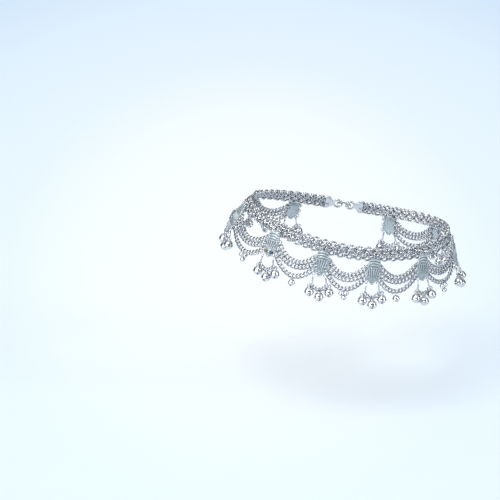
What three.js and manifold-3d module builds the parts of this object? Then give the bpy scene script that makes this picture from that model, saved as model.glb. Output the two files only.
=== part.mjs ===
// A payal anklet: a woven silver band worn round the ankle, with ten embossed plaques below it,
// chains swagged from plaque to plaque, and a cluster of three small bells under each plaque.
// Millimetres. +Z is up, +X runs towards the heel and -Y is the side that faces outward.
// The origin is the middle of the band's loop.
import * as THREE from 'three';
import { mergeVertices } from 'three/addons/utils/BufferGeometryUtils.js';
import Module from 'manifold-3d';

const wasm = await Module();
wasm.setup();

// ---- The loop ----
const LOOP_LENGTH = 267;
const LOOP_ASPECT = 1.45;         // the loop's length over its width
const STATIONS = 11;              // equal steps round the loop: ten plaques and the clasp
const PLAQUES = STATIONS - 1;
const CLASP_STEP = STATIONS / 2;  // steps from the middle of the near side
const SADDLE = 2.8;               // rise at heel and instep, and the same fall at the sides
const TILT = 9.4;                 // degrees, the instep end is the higher one

// ---- The draped shape: lean outward from the vertical, in degrees ----
const LEAN_SIDE = { top: 11.5, low: 2 };
const LEAN_INSTEP = { top: 44, low: -6 };
const LEAN_HEEL = { top: 20, low: 25 };
const LEAN_DEPTH = 23;            // depth below the band's middle where 'low' is reached

// ---- Clearance between separate pieces ----
const GAP = 0.3;

// ---- Band ----
const BAND = { height: 7.2, thickness: 1.8, corner: 0.5, steps: 72 };
const END_RING = { radius: 2, wire: 0.55, offset: 3.2 };
const END_TAPER = 4.6;            // length over which the band narrows to its end ring
const CLASP = { wire: 0.5, halfHeight: 1.5, opening: 0.24 };

// ---- Plaque ----
const PLATE = { depth: 7.5, thickness: 1.3 };
const PLATE_LIFT = BAND.thickness / 2 + GAP + PLATE.thickness / 2;
const EYE = { radius: 0.95, hole: 0.45, across: 2.8, height: -5.7 };
const TOP_EYE = { radius: 0.95, hole: 0.45, across: 1.35, height: 6 };

// ---- Swags ----
const UPPER = { radius: 1.15, endSpread: 1.6, midSpread: 1.15, endDepth: 7.6, lowDepth: 12.3, inset: 3.75 };
const LOWER = { radius: 1.15, endDepth: 12.2, lowDepth: 18.1, inset: 4.1 };
const SWAG_STEPS = 9;
const SWAG_LIFT = 0.9;
const DROP = { peg: 0.45, single: 1.6, singleDepth: 21.2, small: 1.15, smallDepth: 20.1, tipDepth: 22.2 };

// ---- Bells ----
const HANG_DEPTH = 18.5;          // depth whose lean the bells follow
const BELL = { radius: 2.2, rim: 2.32, side: 4.75, sideFall: 8.9, middleFall: 11.2, collar: 0.55 };
const WIRE = 0.42;                // radius of the hanger chains

const SILVER = { color: '#c9ced2', roughness: 0.25, metalness: 1 };
const MATT_SILVER = { color: '#a9b6b6', roughness: 0.45, metalness: 1 };

// The plan of the loop, counter-clockwise seen from above, from the middle of the near side.
const unitPlan = new THREE.EllipseCurve(0, 0, LOOP_ASPECT, 1, 0, 2 * Math.PI);
unitPlan.arcLengthDivisions = 2000;
const halfWidth = LOOP_LENGTH / unitPlan.getLength();
const halfLength = halfWidth * LOOP_ASPECT;
const plan = new THREE.EllipseCurve(0, 0, halfLength, halfWidth, -Math.PI / 2, 1.5 * Math.PI);
plan.arcLengthDivisions = 2000;

// The frame of the draped surface, at so many steps round the loop and a depth below the band's
// middle. Its axes are along the loop, up the surface and outward from it.
function drapeFrame(step, depth) {
  const turn = THREE.MathUtils.euclideanModulo(step / STATIONS, 1);
  const foot = plan.getPointAt(turn);
  const heading = plan.getTangentAt(turn);
  const reach = foot.x / halfLength;
  const end = reach < 0 ? LEAN_INSTEP : LEAN_HEEL;
  const top = THREE.MathUtils.degToRad(THREE.MathUtils.lerp(LEAN_SIDE.top, end.top, reach ** 2));
  const low = THREE.MathUtils.degToRad(THREE.MathUtils.lerp(LEAN_SIDE.low, end.low, reach ** 2));
  const lean = THREE.MathUtils.lerp(top, low, depth / LEAN_DEPTH);
  const bend = (lean - top) / 2;
  const chord = depth * (Math.abs(bend) < 1e-6 ? 1 : Math.sin(bend) / bend);
  const out = chord * Math.sin(top + bend);
  const fall = chord * Math.cos(top + bend);
  const side = new THREE.Vector3(heading.y, -heading.x, 0);
  const rise = SADDLE * (2 * reach ** 2 - 1);
  const origin = new THREE.Vector3(foot.x, foot.y, rise - fall).addScaledVector(side, out);
  const along = new THREE.Vector3(heading.x, heading.y, 0);
  const up = side.clone().multiplyScalar(-Math.sin(lean)).setZ(Math.cos(lean));
  const outward = side.clone().multiplyScalar(Math.cos(lean)).setZ(Math.sin(lean));
  return { origin, along, up, outward };
}

// How many steps a distance along the drape is, at a depth.
function stepsFor(distance, step, depth) {
  const span = 0.02;
  const before = drapeFrame(step - span, depth).origin;
  const after = drapeFrame(step + span, depth).origin;
  return distance * 2 * span / before.distanceTo(after);
}

// Places an object in the drape's frame, lifted outward from it.
function place(object, step, depth, lift) {
  const { origin, along, up, outward } = drapeFrame(step, depth);
  object.position.copy(origin).addScaledVector(outward, lift);
  object.quaternion.setFromRotationMatrix(new THREE.Matrix4().makeBasis(along, up, outward));
  return object;
}

// Places an object that hangs from a point: it lies in the drape's plane, and its height is plumb
// once the whole anklet is tilted.
function hang(object, point, outward) {
  const tilt = THREE.MathUtils.degToRad(TILT);
  const plumb = new THREE.Vector3(-Math.sin(tilt), 0, Math.cos(tilt));
  const up = plumb.addScaledVector(outward, -plumb.dot(outward)).normalize();
  const along = up.clone().cross(outward);
  object.position.copy(point);
  object.quaternion.setFromRotationMatrix(new THREE.Matrix4().makeBasis(along, up, outward));
  return object;
}

// ---- Shape helpers ----
function weld(geometry) {
  geometry.deleteAttribute('normal');
  geometry.deleteAttribute('uv');
  return mergeVertices(geometry, 1e-4);
}

// A closed solid through rings of points, each ring counter-clockwise seen from the last ring.
function loft(rings) {
  const count = rings[0].length;
  const corners = rings.flat();
  const faces = [];
  for (let i = 0; i + 1 < rings.length; i += 1) {
    for (let j = 0; j < count; j += 1) {
      const a = i * count + j;
      const b = i * count + (j + 1) % count;
      faces.push(a, b, b + count, a, b + count, a + count);
    }
  }
  const last = (rings.length - 1) * count;
  for (let j = 1; j + 1 < count; j += 1) {
    faces.push(0, j + 1, j, last, last + j, last + j + 1);
  }
  const geometry = new THREE.BufferGeometry().setFromPoints(corners);
  geometry.setIndex(faces);
  return geometry;
}

function join(...geometries) {
  const solids = geometries.map((geometry) => {
    const shape = geometry.index && !geometry.attributes.uv ? geometry : weld(geometry);
    return new wasm.Manifold(new wasm.Mesh({
      numProp: 3,
      vertProperties: new Float32Array(shape.attributes.position.array),
      triVerts: new Uint32Array(shape.index.array),
    }));
  });
  const mesh = solids.reduce((sum, solid) => sum.add(solid)).getMesh();
  const geometry = new THREE.BufferGeometry();
  geometry.setAttribute('position', new THREE.BufferAttribute(mesh.vertProperties, 3));
  geometry.setIndex(new THREE.BufferAttribute(mesh.triVerts, 1));
  return geometry;
}

function circlePoints(across, height, radius, start, end, count) {
  const points = [];
  for (let i = 0; i <= count; i += 1) {
    const angle = start + (end - start) * i / count;
    points.push(new THREE.Vector2(
      across + radius * Math.cos(angle), height + radius * Math.sin(angle)));
  }
  return points;
}

function tube(points, radius, sides, steps) {
  const section = new THREE.Shape(circlePoints(0, 0, radius, 0, 2 * Math.PI, sides).slice(1));
  const extrudePath = new THREE.CatmullRomCurve3(points);
  return weld(new THREE.ExtrudeGeometry(section, { extrudePath, steps, bevelEnabled: false }));
}

function ball(radius, x, y) {
  return weld(new THREE.SphereGeometry(radius, 8, 5)).translate(x, y, 0);
}

function mesh(name, geometry, look) {
  geometry.computeVertexNormals();
  const result = new THREE.Mesh(geometry, new THREE.MeshStandardMaterial(look));
  result.name = name;
  return result;
}

// ---- Band ----
// A flat section with cut corners, across the band's thickness and height.
function bandSection(step, height) {
  const { origin, up, outward } = drapeFrame(step, 0);
  const half = { out: BAND.thickness / 2, up: height / 2 };
  const cut = BAND.corner;
  const outline = [
    [half.out - cut, half.up], [-half.out + cut, half.up],
    [-half.out, half.up - cut], [-half.out, -half.up + cut],
    [-half.out + cut, -half.up], [half.out - cut, -half.up],
    [half.out, -half.up + cut], [half.out, half.up - cut],
  ];
  return outline.map(([out, rise]) => (
    origin.clone().addScaledVector(outward, out).addScaledVector(up, rise)));
}

function endRing(side) {
  const step = side * (CLASP_STEP - stepsFor(END_RING.offset, CLASP_STEP, 0));
  const ring = new THREE.Object3D();
  place(ring, step, 0, 0).updateMatrix();
  const geometry = weld(new THREE.TorusGeometry(END_RING.radius, END_RING.wire, 6, 16));
  return geometry.applyMatrix4(ring.matrix);
}

function band() {
  const tip = END_RING.offset + END_RING.radius;
  const tipSteps = stepsFor(tip, CLASP_STEP, 0);
  const taperSteps = stepsFor(END_TAPER, CLASP_STEP, 0);
  const reach = CLASP_STEP - tipSteps;
  const stops = [reach, reach - taperSteps / 2];
  for (let i = 0; i <= BAND.steps; i += 1) {
    stops.push((reach - taperSteps) * (1 - 2 * i / BAND.steps));
  }
  stops.push(-reach + taperSteps / 2, -reach);
  const rings = stops.map((stop) => {
    const full = Math.min(1, (reach - Math.abs(stop)) / taperSteps);
    return bandSection(stop, THREE.MathUtils.lerp(2 * END_RING.wire + 2 * BAND.corner, BAND.height, full));
  });
  return mesh('band', join(loft(rings), endRing(1), endRing(-1)), SILVER);
}

// ---- Clasp ----
// One oval wire hook through both end rings, open on its inner side.
function clasp() {
  const turns = 20;
  const points = [];
  for (let i = 0; i <= turns; i += 1) {
    const angle = -Math.PI / 2 + CLASP.opening + (2 * Math.PI - 2 * CLASP.opening) * i / turns;
    points.push(new THREE.Vector3(
      END_RING.offset * Math.cos(angle), 0, CLASP.halfHeight * Math.sin(angle)));
  }
  return place(mesh('clasp', tube(points, CLASP.wire, 8, 20), SILVER), CLASP_STEP, 0, 0);
}

// ---- Plaques ----
// Right half of the plate's outline, from its top eye down to its lower eye: across, height.
const PLATE_OUTLINE = [
  [2.4, 4.9], [2.7, 3.4], [3.35, 1.5], [2.95, 0.2], [3.2, -1.6], [3.1, -3.4], [2.9, -4.7],
];
const LOBE = { radius: 1.45, height: -5.35 };

function roundHole(across, height, radius) {
  return new THREE.Path().setFromPoints(circlePoints(across, height, radius, 0, 2 * Math.PI, 6).slice(0, -1));
}

function plateGeometry() {
  const right = [
    new THREE.Vector2(0, TOP_EYE.height - TOP_EYE.radius / 2),
    ...circlePoints(TOP_EYE.across, TOP_EYE.height, TOP_EYE.radius, 3.5, -0.35, 5),
    ...PLATE_OUTLINE.map(([x, y]) => new THREE.Vector2(x, y)),
    ...circlePoints(EYE.across, EYE.height, EYE.radius, 0.7, -2.4, 5),
    ...circlePoints(0, LOBE.height, LOBE.radius, -0.35, -Math.PI / 2, 3),
  ];
  const left = right.slice(1, -1).reverse().map((point) => new THREE.Vector2(-point.x, point.y));
  const outline = new THREE.Shape([...right, ...left]);
  outline.holes = [TOP_EYE, EYE].flatMap((eye) => [
    roundHole(eye.across, eye.height, eye.hole),
    roundHole(-eye.across, eye.height, eye.hole),
  ]);
  const geometry = new THREE.ExtrudeGeometry(outline, {
    depth: PLATE.thickness, steps: 1, bevelEnabled: false,
  });
  return weld(geometry).translate(0, 0, -PLATE.thickness / 2);
}

function plaque(name, step) {
  return place(mesh(name, plateGeometry(), MATT_SILVER), step, PLATE.depth, PLATE_LIFT);
}

// ---- Swags ----
// Stops along a chain that hangs from one plaque to the next, and how far down it has sagged.
function swagRoute(step, shape) {
  const start = step + stepsFor(shape.inset, step, shape.endDepth);
  const end = step + 1 - stepsFor(shape.inset, step + 1, shape.endDepth);
  const stops = [];
  for (let i = 0; i <= SWAG_STEPS; i += 1) {
    const part = i / SWAG_STEPS;
    const sag = 4 * part * (1 - part);
    stops.push({ step: start + (end - start) * part, sag });
  }
  return stops;
}

// An upright section round a chain: eight points, in two halves set apart by twice the spread.
function chainSection(stop, depth, radius, spread) {
  const { origin, up, outward } = drapeFrame(stop.step, depth);
  const sides = 8;
  const ring = [];
  for (let i = 0; i < sides; i += 1) {
    const angle = 2 * Math.PI * (i + 0.5) / sides;
    const fall = radius * Math.sin(angle) + Math.sign(Math.sin(angle)) * spread;
    ring.push(origin.clone()
      .addScaledVector(up, -fall)
      .addScaledVector(outward, SWAG_LIFT + radius * Math.cos(angle)));
  }
  return ring;
}

function chainLoft(stops, shape, spreadAt) {
  return loft(stops.map((stop) => {
    const depth = THREE.MathUtils.lerp(shape.endDepth, shape.lowDepth, stop.sag);
    return chainSection(stop, depth, shape.radius, spreadAt(stop));
  }));
}

function upperSwag(name, step) {
  const spread = (stop) => THREE.MathUtils.lerp(UPPER.endSpread, UPPER.midSpread, stop.sag);
  return mesh(name, chainLoft(swagRoute(step, UPPER), UPPER, spread), SILVER);
}

// A drop below the lowest link: one ball, or three small ones in a trefoil.
function drop(trefoil) {
  const top = -LOWER.lowDepth;
  const tip = trefoil ? DROP.tipDepth : DROP.singleDepth;
  const peg = weld(new THREE.CylinderGeometry(DROP.peg, DROP.peg, tip - LOWER.lowDepth, 6));
  peg.translate(0, (top - tip) / 2, 0);
  if (!trefoil) return join(peg, ball(DROP.single, 0, -DROP.singleDepth));
  return join(
    peg,
    ball(DROP.small, -DROP.small, -DROP.smallDepth),
    ball(DROP.small, DROP.small, -DROP.smallDepth),
    ball(DROP.small, 0, -DROP.tipDepth),
  );
}

function lowerSwag(name, step, trefoil) {
  const chain = chainLoft(swagRoute(step, LOWER), LOWER, () => 0);
  const hook = new THREE.Object3D();
  const { origin, outward } = drapeFrame(step + 0.5, LOWER.lowDepth);
  hang(hook, origin.addScaledVector(outward, SWAG_LIFT), outward).updateMatrix();
  const hung = drop(trefoil).translate(0, LOWER.lowDepth, 0).applyMatrix4(hook.matrix);
  return mesh(name, join(chain, hung), SILVER);
}

// ---- Bells ----
// A round bell with a raised seam round its middle and a collar on top, turned about its own height.
function bellGeometry(x, y) {
  const { radius, rim, collar } = BELL;
  const profile = [
    [0, -radius], [0.66 * radius, -0.75 * radius], [rim, -0.1 * radius], [rim, 0.1 * radius],
    [0.66 * radius, 0.75 * radius], [collar, radius], [collar, radius + 0.5], [0, radius + 0.5],
  ].map(([out, height]) => new THREE.Vector2(out, height));
  return weld(new THREE.LatheGeometry(profile, 8)).translate(x, y, 0);
}

// Heights in a cluster are from the middle of its plaque's two lower eyes.
function sideBell(name, side) {
  const bellHeight = -BELL.sideFall;
  const top = -EYE.radius - GAP - WIRE;
  const wire = [
    [EYE.across + 0.2, top], [EYE.across + 0.7, -BELL.sideFall / 2],
    [BELL.side - 0.4, bellHeight + BELL.radius + 0.9], [BELL.side, bellHeight + BELL.radius],
  ].map(([x, y]) => new THREE.Vector3(side * x, y, 0));
  const bell = bellGeometry(side * BELL.side, bellHeight);
  return mesh(name, join(bell, tube(wire, WIRE, 6, 5)), SILVER);
}

function middleBell(name) {
  const bellHeight = -BELL.middleFall;
  const bottom = bellHeight + BELL.radius + 0.5;
  const reach = EYE.across - WIRE - GAP;
  const chain = [-1, -0.55, 0, 0.55, 1].map((part) => (
    new THREE.Vector3(part * reach, bottom + 2.1 * part ** 2, 0)));
  const bell = bellGeometry(0, bellHeight);
  return mesh(name, join(bell, tube(chain, WIRE, 6, 6)), SILVER);
}

// The three bells below a plaque, hung from its two lower eyes.
function bellCluster(name, step) {
  const cluster = new THREE.Group();
  cluster.add(sideBell(`${name}_left`, -1), middleBell(`${name}_middle`), sideBell(`${name}_right`, 1));
  const plate = drapeFrame(step, PLATE.depth);
  const foot = plate.origin.addScaledVector(plate.outward, PLATE_LIFT).addScaledVector(plate.up, EYE.height);
  return hang(cluster, foot, drapeFrame(step, HANG_DEPTH).outward);
}

// ---- The whole anklet ----
const twoDigits = (number) => String(number).padStart(2, '0');

const anklet = new THREE.Group();
anklet.rotation.y = THREE.MathUtils.degToRad(TILT);
anklet.add(band(), clasp());
for (let i = 1; i <= PLAQUES; i += 1) {
  const step = i - CLASP_STEP;
  anklet.add(plaque(`plaque_${twoDigits(i)}`, step), bellCluster(`bell_${twoDigits(i)}`, step));
  if (i < PLAQUES) {
    anklet.add(upperSwag(`swag_upper_${twoDigits(i)}`, step));
    anklet.add(lowerSwag(`swag_lower_${twoDigits(i)}`, step, i % 2 === 1));
  }
}

export default anklet;
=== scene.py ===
"""A silver payal anklet in the form it has when worn: a band of woven rings with embossed plaques,
swagged chains, ball drops and clusters of small round bells."""
import math

import bmesh
import bpy
import numpy as np
from mathutils import Matrix, Vector


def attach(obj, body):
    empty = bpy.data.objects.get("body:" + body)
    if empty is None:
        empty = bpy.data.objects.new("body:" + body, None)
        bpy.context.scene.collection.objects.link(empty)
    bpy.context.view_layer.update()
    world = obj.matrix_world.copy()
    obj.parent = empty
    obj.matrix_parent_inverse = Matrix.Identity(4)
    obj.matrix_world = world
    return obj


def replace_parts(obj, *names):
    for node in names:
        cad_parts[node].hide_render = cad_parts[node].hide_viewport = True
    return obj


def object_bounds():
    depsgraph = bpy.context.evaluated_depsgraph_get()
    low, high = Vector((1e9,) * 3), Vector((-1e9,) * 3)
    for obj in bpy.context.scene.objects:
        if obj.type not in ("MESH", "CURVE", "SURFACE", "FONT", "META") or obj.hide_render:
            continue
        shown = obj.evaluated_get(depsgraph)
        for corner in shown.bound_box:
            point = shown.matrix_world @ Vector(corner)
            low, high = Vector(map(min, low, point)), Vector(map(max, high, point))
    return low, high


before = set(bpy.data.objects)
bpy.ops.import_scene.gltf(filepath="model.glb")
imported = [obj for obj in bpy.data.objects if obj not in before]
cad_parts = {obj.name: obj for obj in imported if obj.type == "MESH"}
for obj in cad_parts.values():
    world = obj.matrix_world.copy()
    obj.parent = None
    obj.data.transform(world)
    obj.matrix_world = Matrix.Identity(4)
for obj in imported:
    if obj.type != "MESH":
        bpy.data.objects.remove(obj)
cad_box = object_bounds()

MM = 0.001

# ---- The loop and its drape, in millimetres and degrees ----
LOOP_LENGTH = 267.0
LOOP_ASPECT = 1.45
STATIONS = 11
PLAQUES = STATIONS - 1
CLASP_STEP = STATIONS / 2
SADDLE = 2.8
TILT = 9.4
LEAN_SIDE = (11.5, 2.0)
LEAN_INSTEP = (44.0, -6.0)
LEAN_HEEL = (20.0, 25.0)
LEAN_DEPTH = 23.0

# ---- Band and clasp ----
BAND_HEIGHT = 7.2
END_RING = {"radius": 2.0, "wire": 0.55, "offset": 3.2}
END_TAPER = 4.6
CAP_OVERLAP = 0.8
CAP_HALF_THICKNESS = 0.85
CAP_SQUARENESS = 0.55
CAP_REACH = 0.2
RING_PITCH = 4.3
CLASP_HOOK = {"length": 3.2, "height": 1.5, "wire": 0.5, "opening": 0.24}

# ---- Plaques ----
PLAQUE_DEPTH = 7.5
PLAQUE_LIFT = 1.85
ENAMELLED_PLAQUE = 4

# ---- Swags ----
SWAG_LIFT = 0.9
UPPER = {"end": 7.6, "low": 12.3, "inset": 3.4, "spread": (1.55, 1.12)}
LOWER = {"end": 12.2, "low": 18.1, "inset": 3.7}

# Balls below a lower swag's lowest link: across, height and radius.
TREFOIL_DROP = [(-1.25, -2.1, 1.25), (1.25, -2.1, 1.25), (0.0, -4.35, 1.25)]
SINGLE_DROP = [(0.0, -3.5, 1.7)]
# The ring above a drop's lowest ball: its height above the collar, its turn, and its size beside a bell's.
DROP_RING = {"above": 0.4, "turn": 0.9, "size": 0.7}

# ---- Hangers and bells ----
# A cluster hangs from the middle of its plaque's foot eyes. Falls are measured from there.
HANG_DEPTH = 18.5
BELL_RADIUS = 2.28
BELL_SIDE = 4.75
BELL_SIDE_FALL = 8.9
BELL_MIDDLE_FALL = 11.2
BELL_TURN = 0.6
HANGER_WIRE = 0.4
HANGER_TOP = -0.55
HANGER_INSET = 0.3
# A hanger wire bends at these shares of the side bell's distance and fall. Its chain hangs between the bends.
HANGER_BEND = (0.74, 0.52)
HANGER_SAG = 1.9
CHAIN_ABOVE_BELL = 1.3
RING_ABOVE_BELL = 0.75
SMALL_RING = {"radius": 0.85, "wire": 0.3}

# ---- Camera, light and floor, in metres, degrees and watts ----
LENS = 145.85
CAMERA_TARGET = (-0.0481, 0.0, -0.0146)
CAMERA_ELEVATION = 20.5
CAMERA_DISTANCE = 1.0
SUN = {"place": (-0.35, -0.45, 1.0), "power": 1.55, "angle": 36}
SOFTBOXES = {"left_softbox": ((-2.0, -1.3, 0.85), (0.6, 1.4), 22.0),
             "right_softbox": ((2.1, -0.9, 0.95), (0.5, 1.4), 15.0)}
ROOM = [(0.0, (0.04, 0.045, 0.05, 1)), (0.30, (0.08, 0.09, 0.10, 1)), (0.60, (0.45, 0.47, 0.49, 1)),
        (1.0, (0.75, 0.78, 0.81, 1))]
BACKDROP = (0.63, 0.78, 0.92, 1)
FLOOR_DROP = 0.058
FLOOR_HALF = 4.0
# The floor's ramp paints a pool of light, whitest round its centre and darker and bluer further off.
FLOOR_CENTRE = (-0.048, 0.25, 0.0)
FLOOR_SPREAD = (0.34, 0.87, 1.0)
FLOOR_LIGHT_POOL_COLORS = [(0.0, (0.93, 0.955, 0.965, 1)), (0.30, (0.86, 0.915, 0.955, 1)),
                (0.45, (0.77, 0.865, 0.95, 1)), (0.7, (0.73, 0.84, 0.945, 1)), (1.0, (0.62, 0.765, 0.91, 1))]


# ---------------------------------------------------------------- the drape
def plan_table():
    """Angle and share of the way round the loop's oval plan, from the middle of its near side."""
    angle = np.linspace(-0.5 * math.pi, 1.5 * math.pi, 4001)
    run = np.hypot(np.diff(LOOP_ASPECT * np.cos(angle)), np.diff(np.sin(angle)))
    arc = np.concatenate([[0.0], np.cumsum(run)])
    return angle, arc / arc[-1], LOOP_LENGTH / arc[-1]


PLAN_ANGLE, PLAN_SHARE, HALF_WIDTH = plan_table()
HALF_LENGTH = HALF_WIDTH * LOOP_ASPECT
TILTED = Matrix.Rotation(math.radians(TILT), 4, "Y") @ Matrix.Scale(MM, 4)


def mix(a, b, share):
    return a + (b - a) * share


def drape(step, depth=0.0, lift=0.0):
    """The frame of the draped surface, in metres for local millimetres: along, up and outward."""
    angle = float(np.interp(step / STATIONS % 1.0, PLAN_SHARE, PLAN_ANGLE))
    reach = math.cos(angle)
    heading = Vector((-HALF_LENGTH * math.sin(angle), HALF_WIDTH * reach, 0)).normalized()
    side = Vector((heading.y, -heading.x, 0))
    end = LEAN_INSTEP if reach < 0 else LEAN_HEEL
    top, low = (math.radians(mix(s, e, reach ** 2)) for s, e in zip(LEAN_SIDE, end))
    lean = mix(top, low, depth / LEAN_DEPTH)
    bend = (lean - top) / 2
    chord = depth * (math.sin(bend) / bend if abs(bend) > 1e-6 else 1.0)
    up = Vector((0, 0, math.cos(lean))) - side * math.sin(lean)
    outward = side * math.cos(lean) + Vector((0, 0, math.sin(lean)))
    origin = Vector((HALF_LENGTH * reach, HALF_WIDTH * math.sin(angle), SADDLE * (2 * reach ** 2 - 1)))
    origin += side * chord * math.sin(top + bend) + outward * lift
    origin.z -= chord * math.cos(top + bend)
    basis = Matrix((heading, up, outward)).transposed().to_4x4()
    basis.translation = origin
    return TILTED @ basis


def hang(point, outward):
    """A frame for what hangs from a point: it lies in the drape's plane there, and its height is plumb."""
    outward = outward.normalized()
    up = (Vector((0, 0, 1)) - outward * outward.z).normalized()
    basis = Matrix((up.cross(outward), up, outward)).transposed().to_4x4() @ Matrix.Scale(MM, 4)
    basis.translation = point
    return basis


def steps_for(distance, step, depth):
    """How many steps a distance along the drape is, at a depth."""
    span = 0.02
    length = (drape(step + span, depth).translation - drape(step - span, depth).translation).length / MM
    return distance * 2 * span / length


# ---------------------------------------------------------------- node trees
class Value:
    """A socket's number, so that an expression on values writes its Math nodes."""

    def __init__(self, graph, socket):
        self.graph = graph
        self.socket = socket

    def math(self, operation, *others):
        inputs = dict(enumerate((self, *others)))
        return self.graph.value("ShaderNodeMath", {"operation": operation}, inputs)

    def __add__(self, other):
        return self.math("ADD", other)

    def __sub__(self, other):
        return self.math("SUBTRACT", other)

    def __rsub__(self, other):
        return self.graph.value("ShaderNodeMath", {"operation": "SUBTRACT"}, {0: other, 1: self})

    def __mul__(self, other):
        return self.math("MULTIPLY", other)

    __radd__ = __add__
    __rmul__ = __mul__


class Graph:
    """A node tree while it's being written."""

    def __init__(self, tree):
        self.tree = tree

    def node(self, kind, settings=None, inputs=None):
        node = self.tree.nodes.new(kind)
        for key, value in (settings or {}).items():
            if key == "stops":
                self.set_stops(node.color_ramp, value)
            else:
                setattr(node, key, value)
        for key, value in (inputs or {}).items():
            self.feed(node.inputs[key], value)
        return node

    def value(self, kind, settings=None, inputs=None, output=0):
        return Value(self, self.node(kind, settings, inputs).outputs[output])

    def feed(self, socket, value):
        if isinstance(value, Value):
            self.tree.links.new(value.socket, socket)
        elif isinstance(value, bpy.types.NodeSocket):
            self.tree.links.new(value, socket)
        else:
            socket.default_value = value

    @staticmethod
    def set_stops(ramp, stops):
        while len(ramp.elements) < len(stops):
            ramp.elements.new(1.0)
        for element, (position, color) in zip(ramp.elements, stops):
            element.position = position
            element.color = color


SOCKETS = {float: "NodeSocketFloat", int: "NodeSocketInt", "object": "NodeSocketObject",
           "material": "NodeSocketMaterial"}


def new_geometry_tree(name, inputs):
    tree = bpy.data.node_groups.new(name, "GeometryNodeTree")
    tree.interface.new_socket("Geometry", in_out="OUTPUT", socket_type="NodeSocketGeometry")
    tree.interface.new_socket("Geometry", in_out="INPUT", socket_type="NodeSocketGeometry")
    for label, kind in inputs.items():
        tree.interface.new_socket(label, in_out="INPUT", socket_type=SOCKETS[kind])
    graph = Graph(tree)
    entry = graph.node("NodeGroupInput")
    values = {label: Value(graph, entry.outputs[label]) for label in inputs}
    return graph, entry.outputs["Geometry"], values


def finish_tree(graph, geometry, material):
    real = graph.value("GeometryNodeRealizeInstances", None, {"Geometry": geometry})
    done = graph.value("GeometryNodeSetMaterial", None, {"Geometry": real, "Material": material})
    graph.node("NodeGroupOutput", None, {"Geometry": done})
    return graph.tree


def vector_attribute(graph, name):
    return graph.value("GeometryNodeInputNamedAttribute", {"data_type": "FLOAT_VECTOR"}, {"Name": name})


def axis_turn(graph, axis, angle):
    return graph.value("FunctionNodeAxisAngleToRotation", None, {"Axis": axis, "Angle": angle})


def rotated(graph, rotation, turn):
    inputs = {"Rotation": rotation, "Rotate By": turn}
    return graph.value("FunctionNodeRotateRotation", {"rotation_space": "LOCAL"}, inputs)


RING_INPUTS = {"Length": float, "Width": float, "Wire": float, "Waves": float, "Wave Height": float,
               "Wave Start": float}
RING_SIDES = 12
WIRE_SIDES = 5


def wavy_ring(graph, values):
    """One wire ring. It waves in and out of its own plane, so that it can pass through its neighbours."""
    circle = graph.value("GeometryNodeCurvePrimitiveCircle", None, {"Resolution": RING_SIDES, "Radius": 1.0})
    place = graph.value("GeometryNodeInputPosition")
    axes = graph.node("ShaderNodeSeparateXYZ", None, {0: place})
    x, y = Value(graph, axes.outputs[0]), Value(graph, axes.outputs[1])
    angle = y.math("ARCTAN2", x)
    wire = values["Wire"]
    wave = (angle * values["Waves"] + values["Wave Start"]).math("COSINE")
    route = graph.value("ShaderNodeCombineXYZ", None, {
        0: angle.math("COSINE") * (values["Length"] * 0.5 - wire),
        1: angle.math("SINE") * (values["Width"] * 0.5 - wire),
        2: wave * values["Wave Height"]})
    path = graph.value("GeometryNodeSetPosition", None, {"Geometry": circle, "Position": route})
    outline = {"Resolution": WIRE_SIDES, "Radius": wire}
    section = graph.value("GeometryNodeCurvePrimitiveCircle", None, outline)
    tube = graph.value("GeometryNodeCurveToMesh", None, {"Curve": path, "Profile Curve": section})
    smooth = graph.value("GeometryNodeSetShadeSmooth", None, {"Geometry": tube})
    # Painted shade: the side of the wire that faces the ring's middle gets a shade value, which colours it
    # darker.
    facing = graph.value("ShaderNodeVectorMath", {"operation": "DOT_PRODUCT"}, {
        0: graph.value("GeometryNodeInputNormal"),
        1: graph.value("ShaderNodeVectorMath", {"operation": "NORMALIZE"}, {0: place})}, "Value")
    recess = graph.value("ShaderNodeMath", {"operation": "MULTIPLY_ADD", "use_clamp": True},
                         {0: facing, 1: -0.8, 2: 0.2})
    return graph.value("GeometryNodeStoreNamedAttribute", {"data_type": "FLOAT", "domain": "POINT"},
                       {"Geometry": smooth, "Name": "recess", "Value": recess})


def chain_tree():
    """Links spaced evenly along paths that carry their outward direction."""
    inputs = {"Pitch": float, **RING_INPUTS, "Wobble": float, "Seed": int, "Material": "material"}
    graph, geometry, values = new_geometry_tree("links_along_a_path", inputs)
    curve = graph.value("GeometryNodeMeshToCurve", None, {"Mesh": geometry})
    even = graph.value("GeometryNodeResampleCurve", {"mode": "LENGTH"},
                       {"Curve": curve, "Length": values["Pitch"]})
    facing = graph.value("FunctionNodeAxesToRotation", {"primary_axis": "X", "secondary_axis": "Z"}, {
        "Primary Axis": graph.value("GeometryNodeInputTangent"),
        "Secondary Axis": vector_attribute(graph, "outward")})
    wobble = graph.value("FunctionNodeRandomValue", {"data_type": "FLOAT"}, {
        2: values["Wobble"] * -1.0, 3: values["Wobble"], "Seed": values["Seed"]}, 1)
    turned = rotated(graph, facing, axis_turn(graph, (1, 0, 0), wobble))
    links = graph.value("GeometryNodeInstanceOnPoints", None, {
        "Points": even, "Instance": wavy_ring(graph, values), "Rotation": turned})
    return finish_tree(graph, links, values["Material"])


def raised(graph, points, height):
    """The points moved along their own up direction."""
    offset = graph.value("ShaderNodeVectorMath", {"operation": "SCALE"}, {
        0: vector_attribute(graph, "up"), "Scale": height})
    return graph.value("GeometryNodeSetPosition", None, {"Geometry": points, "Offset": offset})


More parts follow.
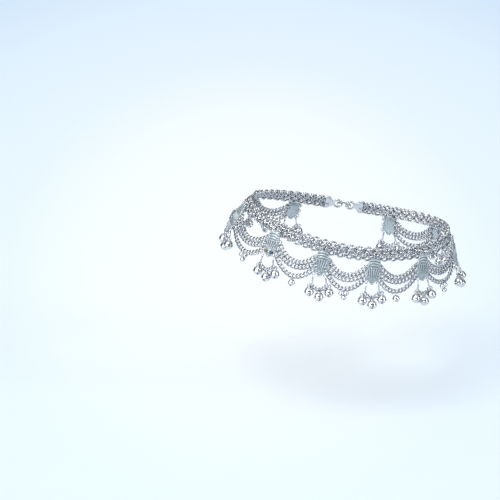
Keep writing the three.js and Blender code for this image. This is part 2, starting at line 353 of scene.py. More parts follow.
def woven_band_tree():
    """Three rows of rings on a line of points half a pitch apart. Large rings and small connecting
    rings alternate along each row. The middle row is set half a pitch along from the outer ones, and
    a line of still smaller rings ties each two rows together."""
    inputs = {"Row Spacing": float, "Connector": float, "Connector Lean": float, "Tie": float, **RING_INPUTS,
              "Material": "material"}
    graph, geometry, values = new_geometry_tree("woven_band", inputs)
    facing = graph.value("FunctionNodeAxesToRotation", {"primary_axis": "X", "secondary_axis": "Z"}, {
        "Primary Axis": vector_attribute(graph, "along"),
        "Secondary Axis": vector_attribute(graph, "outward")})
    odd = graph.value("GeometryNodeInputIndex").math("MODULO", 2.0)
    large = wavy_ring(graph, values)
    small = wavy_ring(graph, {**values, "Length": values["Connector"], "Width": values["Connector"] * 0.9,
                              "Wire": values["Wire"] * 0.85, "Wave Height": 0.0})
    rows = []
    for row in (-1, 0, 1):
        points = raised(graph, geometry, values["Row Spacing"] * row)
        middle = row == 0
        here = odd if middle else 1.0 - odd
        turned = rotated(graph, facing, axis_turn(graph, (0, 0, 1), math.pi if middle else 0.0))
        rows.append(graph.value("GeometryNodeInstanceOnPoints", None, {
            "Points": points, "Selection": here, "Instance": large, "Rotation": turned}))
        leaning = rotated(graph, facing, axis_turn(graph, (1, 0, 0), values["Connector Lean"]))
        rows.append(graph.value("GeometryNodeInstanceOnPoints", None, {
            "Points": points, "Selection": 1.0 - here, "Instance": small, "Rotation": leaning}))
    tie = wavy_ring(graph, {**values, "Length": values["Tie"], "Width": values["Tie"] * 0.85,
                            "Wire": values["Wire"] * 0.75, "Wave Height": 0.0})
    for row in (-0.5, 0.5):
        points = raised(graph, geometry, values["Row Spacing"] * row)
        leaning = rotated(graph, facing, axis_turn(graph, (0, 1, 0), (odd - 0.5) * values["Connector Lean"]))
        rows.append(graph.value("GeometryNodeInstanceOnPoints", None, {
            "Points": points, "Instance": tie, "Rotation": leaning}))
    join = graph.node("GeometryNodeJoinGeometry")
    for row in rows:
        graph.feed(join.inputs[0], row)
    return finish_tree(graph, join.outputs[0], values["Material"])


def fittings_tree():
    """A copy of one fitting at each point, turned to the point's axes and scaled to its size."""
    inputs = {"Fitting": "object", "Material": "material"}
    graph, geometry, values = new_geometry_tree("fittings_on_points", inputs)
    part = graph.node("GeometryNodeObjectInfo", None, {"Object": values["Fitting"]}).outputs["Geometry"]
    facing = graph.value("FunctionNodeAxesToRotation", {"primary_axis": "Z", "secondary_axis": "Y"}, {
        "Primary Axis": vector_attribute(graph, "outward"),
        "Secondary Axis": vector_attribute(graph, "up")})
    size = graph.value("GeometryNodeInputNamedAttribute", {"data_type": "FLOAT"}, {"Name": "size"})
    copies = graph.value("GeometryNodeInstanceOnPoints", None, {
        "Points": geometry, "Instance": part, "Rotation": facing, "Scale": size})
    return finish_tree(graph, copies, values["Material"])


# ---------------------------------------------------------------- meshes
def new_object(name, vertices, edges=(), faces=()):
    mesh = bpy.data.meshes.new(name)
    mesh.from_pydata([tuple(v) for v in vertices], list(edges), list(faces))
    if faces:
        mesh.polygons.foreach_set("use_smooth", [True] * len(mesh.polygons))
    mesh.update()
    piece = bpy.data.objects.new(name, mesh)
    bpy.context.scene.collection.objects.link(piece)
    return piece


def store(piece, name, values):
    """Keeps a number or a vector for each point of a piece."""
    values = np.array(values, np.float32)
    vector = values.ndim == 2
    attribute = piece.data.attributes.new(name, "FLOAT_VECTOR" if vector else "FLOAT", "POINT")
    attribute.data.foreach_set("vector" if vector else "value", values.ravel())


def paths(name, runs):
    """Guide lines from runs of frames, with the outward direction of each point."""
    points = [spot for run in runs for spot in run]
    edges = []
    start = 0
    for run in runs:
        edges += [(start + i, start + i + 1) for i in range(len(run) - 1)]
        start += len(run)
    guide = new_object(name, [spot.translation for spot in points], edges=edges)
    store(guide, "outward", [spot.col[2].xyz.normalized() for spot in points])
    return guide


def spots(name, places):
    """Single points from pairs of a frame and a size."""
    guide = new_object(name, [place.translation for place, size in places])
    store(guide, "along", [place.col[0].xyz.normalized() for place, size in places])
    store(guide, "up", [place.col[1].xyz.normalized() for place, size in places])
    store(guide, "outward", [place.col[2].xyz.normalized() for place, size in places])
    store(guide, "size", [size for place, size in places])
    return guide


def grow(name, guide, tree, inputs):
    """Runs a node tree on a guide and keeps the result as a plain mesh."""
    modifier = guide.modifiers.new("tree", "NODES")
    modifier.node_group = tree
    for item in tree.interface.items_tree:
        if item.item_type == "SOCKET" and item.name in inputs:
            modifier[item.identifier] = inputs[item.name]
    bpy.context.view_layer.update()
    evaluated = guide.evaluated_get(bpy.context.evaluated_depsgraph_get())
    mesh = bpy.data.meshes.new_from_object(evaluated)
    mesh.materials.clear()
    mesh.materials.append(inputs["Material"])
    mesh.polygons.foreach_set("material_index", [0] * len(mesh.polygons))
    bpy.data.objects.remove(guide)
    piece = bpy.data.objects.new(name, mesh)
    mesh.name = name
    bpy.context.scene.collection.objects.link(piece)
    return piece


def merge(name, parts):
    """One piece from several meshes, which keep their materials."""
    bpy.ops.object.select_all(action="DESELECT")
    for part in parts:
        part.select_set(True)
    bpy.context.view_layer.objects.active = parts[0]
    bpy.ops.object.join()
    parts[0].name = name
    parts[0].data.name = name
    return parts[0]


def weld(piece, distance):
    """Merges points that lie on each other, which closes a pole."""
    mesh = bmesh.new()
    mesh.from_mesh(piece.data)
    bmesh.ops.remove_doubles(mesh, verts=mesh.verts, dist=distance)
    mesh.to_mesh(piece.data)
    mesh.free()


def grid_faces(rows, columns, closed_rows=False, closed_columns=False):
    faces = []
    for i in range(rows if closed_rows else rows - 1):
        for j in range(columns if closed_columns else columns - 1):
            k, l = (i + 1) % rows, (j + 1) % columns
            faces.append((i * columns + j, i * columns + l, k * columns + l, k * columns + j))
    return faces


def tube_parts(route, normals, radius, sides=8):
    """Points and faces of a round wire along a route of vectors, closed at both ends."""
    rings = []
    for i, point in enumerate(route):
        ahead = (route[min(i + 1, len(route) - 1)] - route[max(i - 1, 0)]).normalized()
        out = (normals[i] - ahead * normals[i].dot(ahead)).normalized()
        across = ahead.cross(out)
        rings += [point + (out * math.cos(a) + across * math.sin(a)) * radius
                  for a in (2 * math.pi * k / sides for k in range(sides))]
    faces = grid_faces(len(route), sides, closed_columns=True)
    faces.append(tuple(reversed(range(sides))))
    faces.append(tuple(range((len(route) - 1) * sides, len(route) * sides)))
    return rings, faces


def torus_object(name, radius, wire, around=20, sides=8):
    """A round wire ring in its own XY plane, in metres."""
    points = []
    for i in range(around):
        turn = 2 * math.pi * i / around
        for k in range(sides):
            bend = 2 * math.pi * k / sides
            reach = radius + wire * math.cos(bend)
            points.append((reach * math.cos(turn), reach * math.sin(turn), wire * math.sin(bend)))
    faces = grid_faces(around, sides, closed_rows=True, closed_columns=True)
    return new_object(name, points, faces=[tuple(reversed(face)) for face in faces])


def dome_object(name, radius, height, around=16, rows=5):
    """A low dome standing on the XY plane, with a flat underside."""
    points = []
    for i in range(rows):
        rise = 0.5 * math.pi * i / rows
        for k in range(around):
            turn = 2 * math.pi * k / around
            reach = radius * math.cos(rise)
            points.append((reach * math.cos(turn), reach * math.sin(turn), height * math.sin(rise)))
    points.append((0, 0, height))
    faces = grid_faces(rows, around, closed_columns=True)
    top = (rows - 1) * around
    faces += [(top + k, top + (k + 1) % around, len(points) - 1) for k in range(around)]
    faces.append(tuple(reversed(range(around))))
    return new_object(name, points, faces=faces)


# ---------------------------------------------------------------- materials
def metal(name, bright, painted_shade_color, roughness, grain, grain_scale, patches=0.12, metallic=1.0):
    """Silver: bright in the open and darker in its recesses, where the darkening is painted shade, with fine
    grain and soft patches.
    """
    material = bpy.data.materials.new(name)
    material.use_nodes = True
    graph = Graph(material.node_tree)
    shader = material.node_tree.nodes["Principled BSDF"]
    place = graph.value("ShaderNodeTexCoord", None, None, "Object")
    clouds = graph.value("ShaderNodeTexNoise", None, {"Vector": place, "Scale": 260.0, "Detail": 3.0})
    fine = graph.value("ShaderNodeTexNoise", None, {"Vector": place, "Scale": grain_scale, "Detail": 2.0})
    # The stored shade value is painted shade; it mixes the bright colour towards the dark one.
    recess = graph.value("ShaderNodeAttribute", {"attribute_name": "recess"}, None, "Fac")
    shade_and_patches = (recess + (clouds - 0.5) * (2 * patches)).math("MAXIMUM", 0.0).math("MINIMUM", 1.0)
    color = graph.value("ShaderNodeMix", {"data_type": "RGBA"}, {0: shade_and_patches, 6: bright, 7: painted_shade_color}, 2)
    graph.feed(shader.inputs["Base Color"], color)
    graph.feed(shader.inputs["Metallic"], metallic)
    graph.feed(shader.inputs["Roughness"], roughness + shade_and_patches * 0.25 + (fine - 0.5) * 0.12)
    bump = graph.node("ShaderNodeBump", None, {"Strength": grain, "Distance": 0.00004, "Height": fine})
    graph.feed(shader.inputs["Normal"], bump.outputs[0])
    return material


def enamel(name, color, deep):
    """Glossy enamel, cloudy from one shade to a deeper one."""
    material = bpy.data.materials.new(name)
    material.use_nodes = True
    graph = Graph(material.node_tree)
    shader = material.node_tree.nodes["Principled BSDF"]
    place = graph.value("ShaderNodeTexCoord", None, None, "Object")
    clouds = graph.value("ShaderNodeTexNoise", None, {"Vector": place, "Scale": 1400.0, "Detail": 2.0})
    shades = graph.value("ShaderNodeMix", {"data_type": "RGBA"}, {0: clouds, 6: color, 7: deep}, 2)
    graph.feed(shader.inputs["Base Color"], shades)
    graph.feed(shader.inputs["Roughness"], clouds * 0.15 + 0.1)
    graph.feed(shader.inputs["Coat Weight"], 0.6)
    return material


def pale_floor():
    """Pale, whitest under the anklet and a little bluer further off; the whiter middle is a painted pool of
    light.
    """
    material = bpy.data.materials.new("pale_floor")
    material.use_nodes = True
    graph = Graph(material.node_tree)
    shader = material.node_tree.nodes["Principled BSDF"]
    place = graph.value("ShaderNodeTexCoord", None, None, "Object")
    offset = graph.value("ShaderNodeVectorMath", {"operation": "SUBTRACT"}, {0: place, 1: FLOOR_CENTRE})
    spread = graph.value("ShaderNodeVectorMath", {"operation": "DIVIDE"}, {0: offset, 1: FLOOR_SPREAD})
    far = graph.value("ShaderNodeVectorMath", {"operation": "LENGTH"}, {0: spread}, "Value")
    color = graph.value("ShaderNodeValToRGB", {"stops": FLOOR_LIGHT_POOL_COLORS}, {0: far})
    graph.feed(shader.inputs["Base Color"], color)
    graph.feed(shader.inputs["Roughness"], 0.8)
    graph.feed(shader.inputs["Specular IOR Level"], 0.1)
    return material


# Each silver's second colour is the painted shade that its recesses are mixed towards.
LINK_SILVER = metal("polished_link_silver", (0.64, 0.65, 0.675, 1), (0.035, 0.038, 0.045, 1),
                    0.17, 0.25, 5200.0)
BELL_SILVER = metal("bright_bell_silver", (0.72, 0.73, 0.75, 1), (0.03, 0.03, 0.035, 1),
                    0.14, 0.15, 3800.0, 0.05)
PLAQUE_SILVER = metal("matt_embossed_silver", (0.62, 0.675, 0.70, 1), (0.17, 0.195, 0.205, 1),
                      0.36, 0.6, 4200.0, 0.1, 0.7)
OLIVE_ENAMEL = enamel("olive_enamel", (0.22, 0.21, 0.04, 1), (0.09, 0.09, 0.02, 1))
BLUE_ENAMEL = enamel("deep_blue_enamel", (0.02, 0.09, 0.20, 1), (0.005, 0.02, 0.06, 1))


# ---------------------------------------------------------------- camera, light and floor
def aim(thing, place, target):
    thing.location = place
    direction = Vector(target) - Vector(place)
    thing.rotation_euler = direction.to_track_quat("-Z", "Y").to_euler()


def add_camera():
    data = bpy.data.cameras.new("camera")
    data.lens = LENS
    data.sensor_width = 36.0
    data.clip_start = 0.05
    camera = bpy.data.objects.new("camera", data)
    bpy.context.scene.collection.objects.link(camera)
    target = Vector(CAMERA_TARGET)
    elevation = math.radians(CAMERA_ELEVATION)
    back = Vector((0.0, -math.cos(elevation), math.sin(elevation)))
    aim(camera, target + back * CAMERA_DISTANCE, target)
    bpy.context.scene.camera = camera


def add_softbox(name, place, size, power):
    data = bpy.data.lights.new(name, "AREA")
    data.shape = "RECTANGLE"
    data.size, data.size_y = size
    data.energy = power
    light = bpy.data.objects.new(name, data)
    bpy.context.scene.collection.objects.link(light)
    aim(light, place, (0, 0, 0))


def add_world():
    """A room that is bright overhead and dim at its walls, so that silver has something dark to mirror."""
    world = bpy.data.worlds.new("room")
    world.use_nodes = True
    graph = Graph(world.node_tree)
    place = graph.value("ShaderNodeTexCoord", None, None, "Generated")
    axes = graph.node("ShaderNodeSeparateXYZ", None, {0: place})
    room = graph.value("ShaderNodeValToRGB", {"stops": ROOM}, {0: axes.outputs[2]})
    seen = graph.value("ShaderNodeLightPath", None, None, "Is Camera Ray")
    color = graph.value("ShaderNodeMix", {"data_type": "RGBA"}, {0: seen, 6: room, 7: BACKDROP}, 2)
    graph.feed(world.node_tree.nodes["Background"].inputs[0], color)
    bpy.context.scene.world = world


def add_floor():
    low = cad_box[0][2] - FLOOR_DROP
    corners = [(x * FLOOR_HALF, y * FLOOR_HALF, low) for x, y in ((-1, -1), (1, -1), (1, 1), (-1, 1))]
    floor = new_object("floor", corners, faces=[(0, 1, 2, 3)])
    floor.data.materials.append(pale_floor())


def add_sun():
    sun = bpy.data.lights.new("overhead_softbox", "SUN")
    sun.energy = SUN["power"]
    sun.angle = math.radians(SUN["angle"])
    light = bpy.data.objects.new("overhead_softbox", sun)
    bpy.context.scene.collection.objects.link(light)
    aim(light, SUN["place"], (0, 0, 0))


def add_stage():
    add_camera()
    add_floor()
    add_sun()
    for name, (place, size, power) in SOFTBOXES.items():
        add_softbox(name, place, size, power)
    add_world()
    bpy.context.scene.view_settings.view_transform = "Standard"


add_stage()


# ---------------------------------------------------------------- band and clasp
def band_rings():
    """The woven part of the band."""
    bare = END_RING["offset"] + END_RING["radius"] + END_TAPER - CAP_OVERLAP
    reach = CLASP_STEP - steps_for(bare, CLASP_STEP, 0)
    length = LOOP_LENGTH * 2 * reach / STATIONS
    pitches = round(length / RING_PITCH)
    halves = 2 * pitches
    places = [(drape(-reach + 2 * reach * i / halves), 1.0) for i in range(halves + 1)]
    inputs = {"Row Spacing": 1.75 * MM, "Connector": 3.3 * MM, "Connector Lean": 0.7, "Tie": 2.3 * MM,
              "Length": 4.3 * MM, "Width": 3.75 * MM, "Wire": 0.48 * MM, "Waves": 3.0,
              "Wave Height": 0.36 * MM, "Wave Start": 0.0, "Material": LINK_SILVER}
    return grow("band_rings", spots("band_guide", places), woven_band_tree(), inputs)


# How far along an end cap, then its half height and half thickness there as shares of the full ones.
END_CAP = [(0.0, 0.55, 0.6), (0.03, 0.92, 0.95), (0.08, 1.0, 1.0), (0.14, 0.97, 0.72), (0.20, 0.96, 0.70),
           (0.25, 0.97, 0.95), (0.31, 0.93, 0.95), (0.36, 0.86, 0.70), (0.60, 0.62, 0.72), (0.85, 0.40, 0.70),
           (0.95, 0.30, 0.60), (1.0, 0.18, 0.35)]


def end_cap(side):
    """A flat cap that gathers the band's rows, with two raised ribs, narrowing to its end ring."""
    around = 16
    near = END_RING["offset"] + END_RING["radius"]
    base = CLASP_STEP - steps_for(near + END_TAPER, CLASP_STEP, 0)
    tip = CLASP_STEP - steps_for(near - CAP_REACH, CLASP_STEP, 0)
    points = []
    for share, height, thickness in END_CAP:
        spot = drape(side * mix(base, tip, share))
        for k in range(around):
            angle = 2 * math.pi * k / around
            circle = (math.cos(angle), math.sin(angle))
            rise, out = (math.copysign(abs(v) ** CAP_SQUARENESS, v) for v in circle)
            flat = side * out * thickness * CAP_HALF_THICKNESS
            points.append(spot @ Vector((0, rise * height * BAND_HEIGHT / 2, flat)))
    faces = grid_faces(len(END_CAP), around, closed_columns=True)
    faces.append(tuple(reversed(range(around))))
    faces.append(tuple(range((len(END_CAP) - 1) * around, len(END_CAP) * around)))
    return new_object("end_cap", points, faces=faces)


def band_ends():
    """The two end caps with their end rings."""
    parts = []
    for side in (-1, 1):
        ring = torus_object("end_ring", END_RING["radius"] * MM, END_RING["wire"] * MM, 28, 10)
        centre = drape(side * (CLASP_STEP - steps_for(END_RING["offset"], CLASP_STEP, 0)))
        ring.data.transform(centre @ Matrix.Scale(1 / MM, 4))
        parts += [end_cap(side), ring]
    for part in parts:
        part.data.materials.append(LINK_SILVER)
    return parts


def clasp_hook():
    """One oval wire hook through both end rings, open on its inner side."""
    turns = 40
    opening = CLASP_HOOK["opening"]
    centre = drape(CLASP_STEP)
    route, normals = [], []
    for i in range(turns + 1):
        angle = -math.pi / 2 + opening + (2 * math.pi - 2 * opening) * i / turns
        point = (CLASP_HOOK["length"] * math.cos(angle), 0, CLASP_HOOK["height"] * math.sin(angle))
        route.append(centre @ Vector(point))
        normals.append(centre.col[1].xyz)
    points, faces = tube_parts(route, normals, CLASP_HOOK["wire"] * MM, 12)
    hook = new_object("clasp_hook", points, faces=faces)
    hook.data.materials.append(LINK_SILVER)
    return hook


# ---------------------------------------------------------------- plaques
PLATE_WIDTHS = [(6.2, 1.5), (5.6, 1.95), (4.6, 2.35), (3.2, 2.75), (2.2, 3.1), (1.5, 3.35), (0.9, 3.2),
                (0.2, 2.95), (-1.2, 3.1), (-2.8, 3.25), (-3.9, 3.1), (-4.6, 2.7), (-4.95, 2.0), (-5.15, 1.45)]
LOBE = {"radius": 1.45, "height": -5.4}
PLATE_SHEET = 0.55
# Painted shade laid evenly over the back of each plate.
BACK_SHADE = 0.15
PLATE_BREADTH = 1.12
PLATE_TOP_EYE = {"across": 1.35, "height": 6.25}
FOOT_EYE = {"across": 2.8, "height": -5.7}
SIDE_EYE = {"across": 3.6, "lift": -0.45}
EYE_RING = {"radius": 0.72, "wire": 0.25}
JUMP_RING = {"radius": 1.1, "wire": 0.30, "height": 7.0, "lift": -0.45, "turn": 0.9}
DOT = {"radius": 1.0, "rise": 0.5, "across": 1.5, "height": -4.3, "lift": 0.45}

# Embossing: the ribbed crown above its lower edge, the fan of ribs below it, and curls on both sides.
CROWN = {"edge": 1.25, "pitch": 1.3, "bow": 0.10, "relief": 0.24}
FAN = {"apex": 8.5, "foot": -3.9, "pitch": 7.6, "relief": 0.22}
CURLS = [(2.4, 2.1, 0.62), (2.3, -2.7, 0.8)]
BEAD_PITCH = 0.62


def half_width(y):
    """Half the plate's width at a height."""
    heights, widths = zip(*reversed(PLATE_WIDTHS))
    plate = PLATE_BREADTH * np.interp(y, heights, widths)
    lobe = np.sqrt(np.maximum(LOBE["radius"] ** 2 - (y - LOBE["height"]) ** 2, 0.0))
    return np.where(y > heights[0], plate, lobe)


def ridge(distance, width):
    return np.exp(-(distance / width) ** 2)


def beyond(distance, sharpness):
    """A soft step from 0 to 1 where a distance passes zero."""
    return 1 / (1 + np.exp(-distance * sharpness))


def ribs(x, y):
    """The crown's curved ribs, the fan's spreading ones and the raised line between them."""
    crown = beyond(y - CROWN["edge"], 9)
    fan = (1 - crown) * beyond(y - FAN["foot"], 6)
    spoke = np.arctan2(x, y + FAN["apex"])
    relief = crown * CROWN["relief"] * np.cos(2 * np.pi * (y + CROWN["bow"] * x ** 2) / CROWN["pitch"])
    relief += fan * FAN["relief"] * np.cos(2 * np.pi * spoke / math.radians(FAN["pitch"]))
    return relief + 0.34 * ridge(y - CROWN["edge"] - 0.05 * x ** 2, 0.22)


def plate_relief(x, y, width):
    """Height of the embossing over the plate, in millimetres."""
    relief = 0.35 * (1 - (x / np.maximum(width, 0.3)) ** 2) + ribs(x, y)
    for across, height, radius in CURLS:
        away = np.hypot(np.abs(x) - across, y - height)
        curl = beyond(radius + 0.25 - away, 9)
        relief = mix(relief, 0.05 + 0.42 * ridge(away - radius, 0.2), curl)
        relief += 0.25 * ridge(away, 0.18)
    away = np.hypot(x, y - LOBE["height"])
    ring_and_boss = 0.1 + 0.34 * ridge(away - 0.98, 0.22) + 0.3 * ridge(away, 0.35)
    relief = mix(relief, ring_and_boss, beyond(1.35 - away, 12))
    beads = 0.5 + 0.5 * np.cos(2 * np.pi * y / BEAD_PITCH)
    return relief + (0.16 + 0.2 * beads) * ridge(width - 0.28 - np.abs(x), 0.2)


def plate_cavity_shade(relief):
    """How far each point lies below what's round it, from 0 to 1. This is painted shade in the embossing's
    hollows.
    """
    around = sum(np.roll(relief, shift, axis) for axis in (0, 1) for shift in (2, -2)) / 4
    return np.clip(0.38 - (relief - around) * 4.2 - relief * 0.25, 0, 1)


def rim_points(rows, columns):
    """The points round a grid's edge, in order."""
    rim = [i * columns for i in range(rows)]
    rim += [(rows - 1) * columns + j for j in range(1, columns)]
    rim += [i * columns + columns - 1 for i in range(rows - 2, -1, -1)]
    rim += [j for j in range(columns - 2, 0, -1)]
    return rim


def plate_mesh():
    """The plate as a closed sheet: an embossed front and a plain back, joined round its edge."""
    plate_rows, lobe_rows, columns = 78, 14, 45
    rows = plate_rows + lobe_rows
    top, foot = PLATE_WIDTHS[0][0], PLATE_WIDTHS[-1][0]
    tip = LOBE["height"] - LOBE["radius"] + 0.01
    y = np.linspace(top, foot, plate_rows, endpoint=False)
    y = np.concatenate([y, np.linspace(foot, tip, lobe_rows)])
    width = half_width(y)
    share = np.sin(np.linspace(-0.5 * np.pi, 0.5 * np.pi, columns))
    x = width[:, None] * share[None, :]
    yy = np.repeat(y[:, None], columns, 1)
    relief = plate_relief(x, yy, width[:, None])
    edge = 1 - np.abs(share[None, :]) ** 14
    front = np.stack([x, yy, relief * edge], -1)
    back = np.stack([x, yy, relief * edge - PLATE_SHEET], -1)
    points = np.concatenate([front.reshape(-1, 3), back.reshape(-1, 3)])
    count = rows * columns
    faces = [tuple(reversed(f)) for f in grid_faces(rows, columns)]
    faces += [tuple(count + i for i in f) for f in grid_faces(rows, columns)]
    rim = rim_points(rows, columns)
    for a, b in zip(rim, rim[1:] + rim[:1]):
        faces.append((b, a, count + a, count + b))
    return points, faces, np.concatenate([plate_cavity_shade(relief).ravel(), np.full(count, BACK_SHADE)])


def eye_places(spot):
    """Where a plate's eyes lie: two on top, one at each place where a chain ends, two at its foot."""
    places = [(side * PLATE_TOP_EYE["across"], PLATE_TOP_EYE["height"], 0.0) for side in (-1, 1)]
    for depth in (UPPER["end"] - UPPER["spread"][0], UPPER["end"] + UPPER["spread"][0], LOWER["end"]):
        places += [(side * SIDE_EYE["across"], PLAQUE_DEPTH - depth, SIDE_EYE["lift"]) for side in (-1, 1)]
    places += [(side * FOOT_EYE["across"], FOOT_EYE["height"], 0.0) for side in (-1, 1)]
    return [(spot @ Matrix.Translation(place), 1.0) for place in places]


def jump_ring_places(spot):
    """The two rings that hold a plate's top eyes to the band."""
    places = []
    for side in (-1, 1):
        across = side * PLATE_TOP_EYE["across"]
        place = spot @ Matrix.Translation((across, JUMP_RING["height"], JUMP_RING["lift"]))
        places.append((place @ Matrix.Rotation(side * JUMP_RING["turn"], 4, "Y"), 1.0))
    return places


def enamel_dots(spot, fittings):
    """Two small domes of enamel at the foot of one plaque."""
    dots = []
    dome = dome_object("dome", DOT["radius"] * MM, DOT["rise"] * MM)
    for side, material in ((-1, OLIVE_ENAMEL), (1, BLUE_ENAMEL)):
        place = spot @ Matrix.Translation((side * DOT["across"], DOT["height"], DOT["lift"]))
        guide = spots("dot_guide", [(place, 1.0)])
        dots.append(grow("dot", guide, fittings, {"Fitting": dome, "Material": material}))
    bpy.data.objects.remove(dome)
    return dots


def plaque(name, step, plate, fittings, enamelled):
    spot = drape(step, PLAQUE_DEPTH, PLAQUE_LIFT)
    points, faces, recess = plate
    body = new_object(name, [spot @ Vector(p) for p in points], faces=faces)
    store(body, "recess", recess)
    body.data.materials.append(PLAQUE_SILVER)
    parts = [body]
    for size, places in ((EYE_RING, eye_places(spot)), (JUMP_RING, jump_ring_places(spot))):
        ring = torus_object("ring", size["radius"] * MM, size["wire"] * MM, 16, 7)
        guide = spots("ring_guide", places)
        parts.append(grow("rings", guide, fittings, {"Fitting": ring, "Material": LINK_SILVER}))
        bpy.data.objects.remove(ring)
    if enamelled:
        parts += enamel_dots(spot, fittings)
    return merge(name, parts)


# ---------------------------------------------------------------- swags
def swag_route(step, shape, offset=None):
    """Frames along one chain from plaque to plaque. An offset of -1 or 1 picks one of a pair of chains."""
    start = step + steps_for(shape["inset"], step, shape["end"])
    end = step + 1 - steps_for(shape["inset"], step + 1, shape["end"])
    route = []
    stops = 32
    for i in range(stops + 1):
        part = i / stops
        sag = 4 * part * (1 - part)
        depth = mix(shape["end"], shape["low"], sag)
        if offset:
            depth += offset * mix(*shape["spread"], sag)
        route.append(drape(mix(start, end, part), depth, SWAG_LIFT))
    return route


CHAIN = {"Pitch": 1.8 * MM, "Length": 3.2 * MM, "Width": 2.7 * MM, "Wire": 0.37 * MM, "Waves": 2.0,
         "Wave Height": 0.38 * MM, "Wave Start": -math.pi / 2, "Wobble": 0.22}
SMALL_CHAIN = {**CHAIN, "Pitch": 1.55 * MM, "Length": 2.8 * MM, "Width": 2.4 * MM, "Wire": 0.35 * MM,
               "Wave Height": 0.3 * MM, "Material": LINK_SILVER}


def swag(name, runs, tree, seed):
    inputs = {**CHAIN, "Seed": seed, "Material": LINK_SILVER}
    return grow(name, paths(name + "_guide", runs), tree, inputs)


# ---------------------------------------------------------------- bells
SLIT = {"half_width": 0.10, "top": -0.28, "floor": 0.86}
COLLAR_TOP = 1.1


def bell_object():
    """A round bell of unit radius: two cups that meet in a raised seam, a slit across the lower cup,
    and a collar on top. Its seam is level and its slit crosses from front to back."""
    around = 30
    profile = [(-1.0, 0.0), (-0.985, 0.16), (-0.93, 0.37), (-0.82, 0.57), (-0.66, 0.75), (-0.46, 0.885),
               (-0.27, 0.955), (-0.17, 0.98), (-0.15, 1.05), (-0.09, 1.06), (-0.05, 0.99), (-0.03, 1.04),
               (0.03, 1.05), (0.06, 0.985), (0.25, 0.965), (0.46, 0.885), (0.66, 0.75), (0.82, 0.57),
               (0.93, 0.37), (0.97, 0.25), (1.02, 0.24), (1.08, 0.22), (COLLAR_TOP, 0.0)]
    points, recess = [], []
    for height, radius in profile:
        for j in range(around):
            turn = 2 * math.pi * j / around
            x, y = radius * math.sin(turn), radius * math.cos(turn)
            slit = abs(y) < SLIT["half_width"] and height < SLIT["top"]
            shrink = SLIT["floor"] if slit else 1.0
            points.append(Vector((y * shrink, height * shrink, x * shrink)))
            # Painted shade: the groove beside the seam is coloured part dark, and the inside of the slit
            # fully dark.
            groove = 0.55 if abs(height + 0.04) < 0.025 else 0.0
            recess.append(1.0 if slit else groove)
    faces = [tuple(reversed(f)) for f in grid_faces(len(profile), around, closed_columns=True)]
    bell = new_object("bell", points, faces=faces)
    store(bell, "recess", recess)
    weld(bell, 1e-5)
    return bell


def hanger_wire(spot, side):
    """The long link from a plaque's foot eye to the small chain's end."""
    start = Vector((side * FOOT_EYE["across"], HANGER_TOP, 0))
    bend = Vector((side * BELL_SIDE * HANGER_BEND[0], -HANGER_BEND[1] * BELL_SIDE_FALL, 0))
    end = Vector((side * (BELL_SIDE - HANGER_INSET), BELL_RADIUS + CHAIN_ABOVE_BELL - BELL_SIDE_FALL, 0))
    route = [spot @ point for point in (start, mix(start, bend, 0.5), bend, mix(bend, end, 0.5), end)]
    points, faces = tube_parts(route, [spot.col[2].xyz] * len(route), HANGER_WIRE * MM)
    wire = new_object("hanger_wire", points, faces=faces)
    wire.data.materials.append(LINK_SILVER)
    return wire


def hanger_chain(spot, trees, seed):
    """The small chain slung between the two hanger wires, with the middle bell below its lowest link."""
    route = []
    for part in np.linspace(-1, 1, 17):
        height = BELL_RADIUS + CHAIN_ABOVE_BELL - BELL_MIDDLE_FALL + HANGER_SAG * part ** 2
        route.append(spot @ Matrix.Translation((part * BELL_SIDE * HANGER_BEND[0], height, 0)))
    guide = paths("hanger_guide", [route])
    return grow("hanger_chain", guide, trees.links, {**SMALL_CHAIN, "Seed": seed})


def bell_cluster(name, step, trees, seed):
    """Three bells on small rings below a plaque."""
    plate = drape(step, PLAQUE_DEPTH, PLAQUE_LIFT)
    foot = (plate @ Matrix.Translation((0, FOOT_EYE["height"], 0))).translation
    spot = hang(foot, drape(step, HANG_DEPTH).col[2].xyz)
    turns = np.random.default_rng(seed).uniform(-BELL_TURN, BELL_TURN, 3)
    bells, rings = [], []
    for side, fall, turn in zip((-1, 0, 1), (BELL_SIDE_FALL, BELL_MIDDLE_FALL, BELL_SIDE_FALL), turns):
        place = spot @ Matrix.Translation((side * BELL_SIDE, -fall, 0))
        bells.append((place @ Matrix.Rotation(turn, 4, "Y"), BELL_RADIUS))
        above = place @ Matrix.Translation((0, BELL_RADIUS + RING_ABOVE_BELL, 0))
        rings.append((above @ Matrix.Rotation(turn, 4, "Y"), 1.0))
    parts = [trees.bells(bells), trees.rings(rings)]
    parts += [hanger_chain(spot, trees, seed), hanger_wire(spot, -1), hanger_wire(spot, 1)]
    return merge(name, parts)


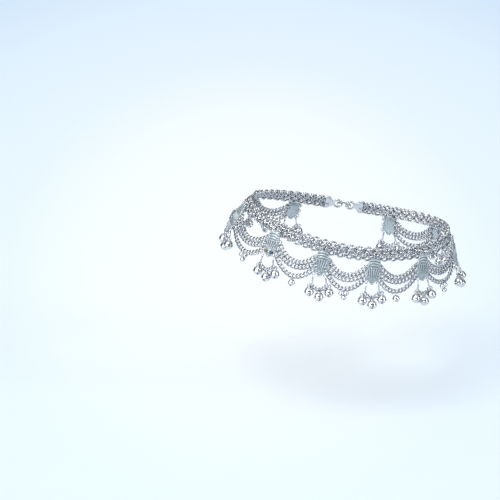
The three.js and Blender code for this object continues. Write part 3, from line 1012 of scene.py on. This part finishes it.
def lower_swag(name, step, trees, trefoil, seed):
    """The lowest chain between two plaques, with one ball or a trefoil of small ones at its middle."""
    chain = swag("chain", [swag_route(step, LOWER)], trees.links, seed)
    middle = drape(step + 0.5, LOWER["low"], SWAG_LIFT)
    spot = hang(middle.translation, middle.col[2].xyz)
    places = TREFOIL_DROP if trefoil else SINGLE_DROP
    balls = [(spot @ Matrix.Translation((x, y, 0)), size) for x, y, size in places]
    x, y, size = places[-1]
    hook = spot @ Matrix.Translation((x, y + COLLAR_TOP * size + DROP_RING["above"], 0))
    hook = hook @ Matrix.Rotation(DROP_RING["turn"], 4, "Y")
    return merge(name, [chain, trees.bells(balls), trees.rings([(hook, DROP_RING["size"])])])


class Trees:
    """The node trees and fittings that the pieces share."""

    def __init__(self):
        self.fittings = fittings_tree()
        self.links = chain_tree()
        self.bell = bell_object()
        self.bell.data.transform(Matrix.Scale(MM, 4))
        self.ring = torus_object("small_ring", SMALL_RING["radius"] * MM, SMALL_RING["wire"] * MM, 16, 6)

    def bells(self, places):
        inputs = {"Fitting": self.bell, "Material": BELL_SILVER}
        return grow("bells", spots("bell_guide", places), self.fittings, inputs)

    def rings(self, places):
        inputs = {"Fitting": self.ring, "Material": LINK_SILVER}
        return grow("rings", spots("ring_guide", places), self.fittings, inputs)

    def clear(self):
        bpy.data.objects.remove(self.bell)
        bpy.data.objects.remove(self.ring)


def add_piece(piece, slot, *nodes):
    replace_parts(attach(piece, "root"), *nodes)


def build_anklet():
    trees = Trees()
    plate = plate_mesh()
    add_piece(merge("woven_band", [band_rings(), *band_ends()]), "band_silver", "band")
    add_piece(clasp_hook(), "clasp_silver", "clasp")
    for i in range(1, PLAQUES + 1):
        step = i - CLASP_STEP
        name = f"embossed_plaque_{i:02d}"
        piece = plaque(name, step, plate, trees.fittings, i == ENAMELLED_PLAQUE)
        add_piece(piece, "plaque_silver", f"plaque_{i:02d}")
        bells = [f"bell_{i:02d}_{part}" for part in ("left", "middle", "right")]
        add_piece(bell_cluster(f"bell_cluster_{i:02d}", step, trees, i), "bell_silver", *bells)
    for i in range(1, PLAQUES):
        step = i - CLASP_STEP
        upper = [swag_route(step, UPPER, -1), swag_route(step, UPPER, 1)]
        piece = swag(f"upper_swag_{i:02d}", upper, trees.links, i)
        add_piece(piece, "chain_silver", f"swag_upper_{i:02d}")
        piece = lower_swag(f"lower_swag_{i:02d}", step, trees, i % 2 == 1, PLAQUES + i)
        add_piece(piece, "chain_silver", f"swag_lower_{i:02d}")
    trees.clear()


build_anklet()
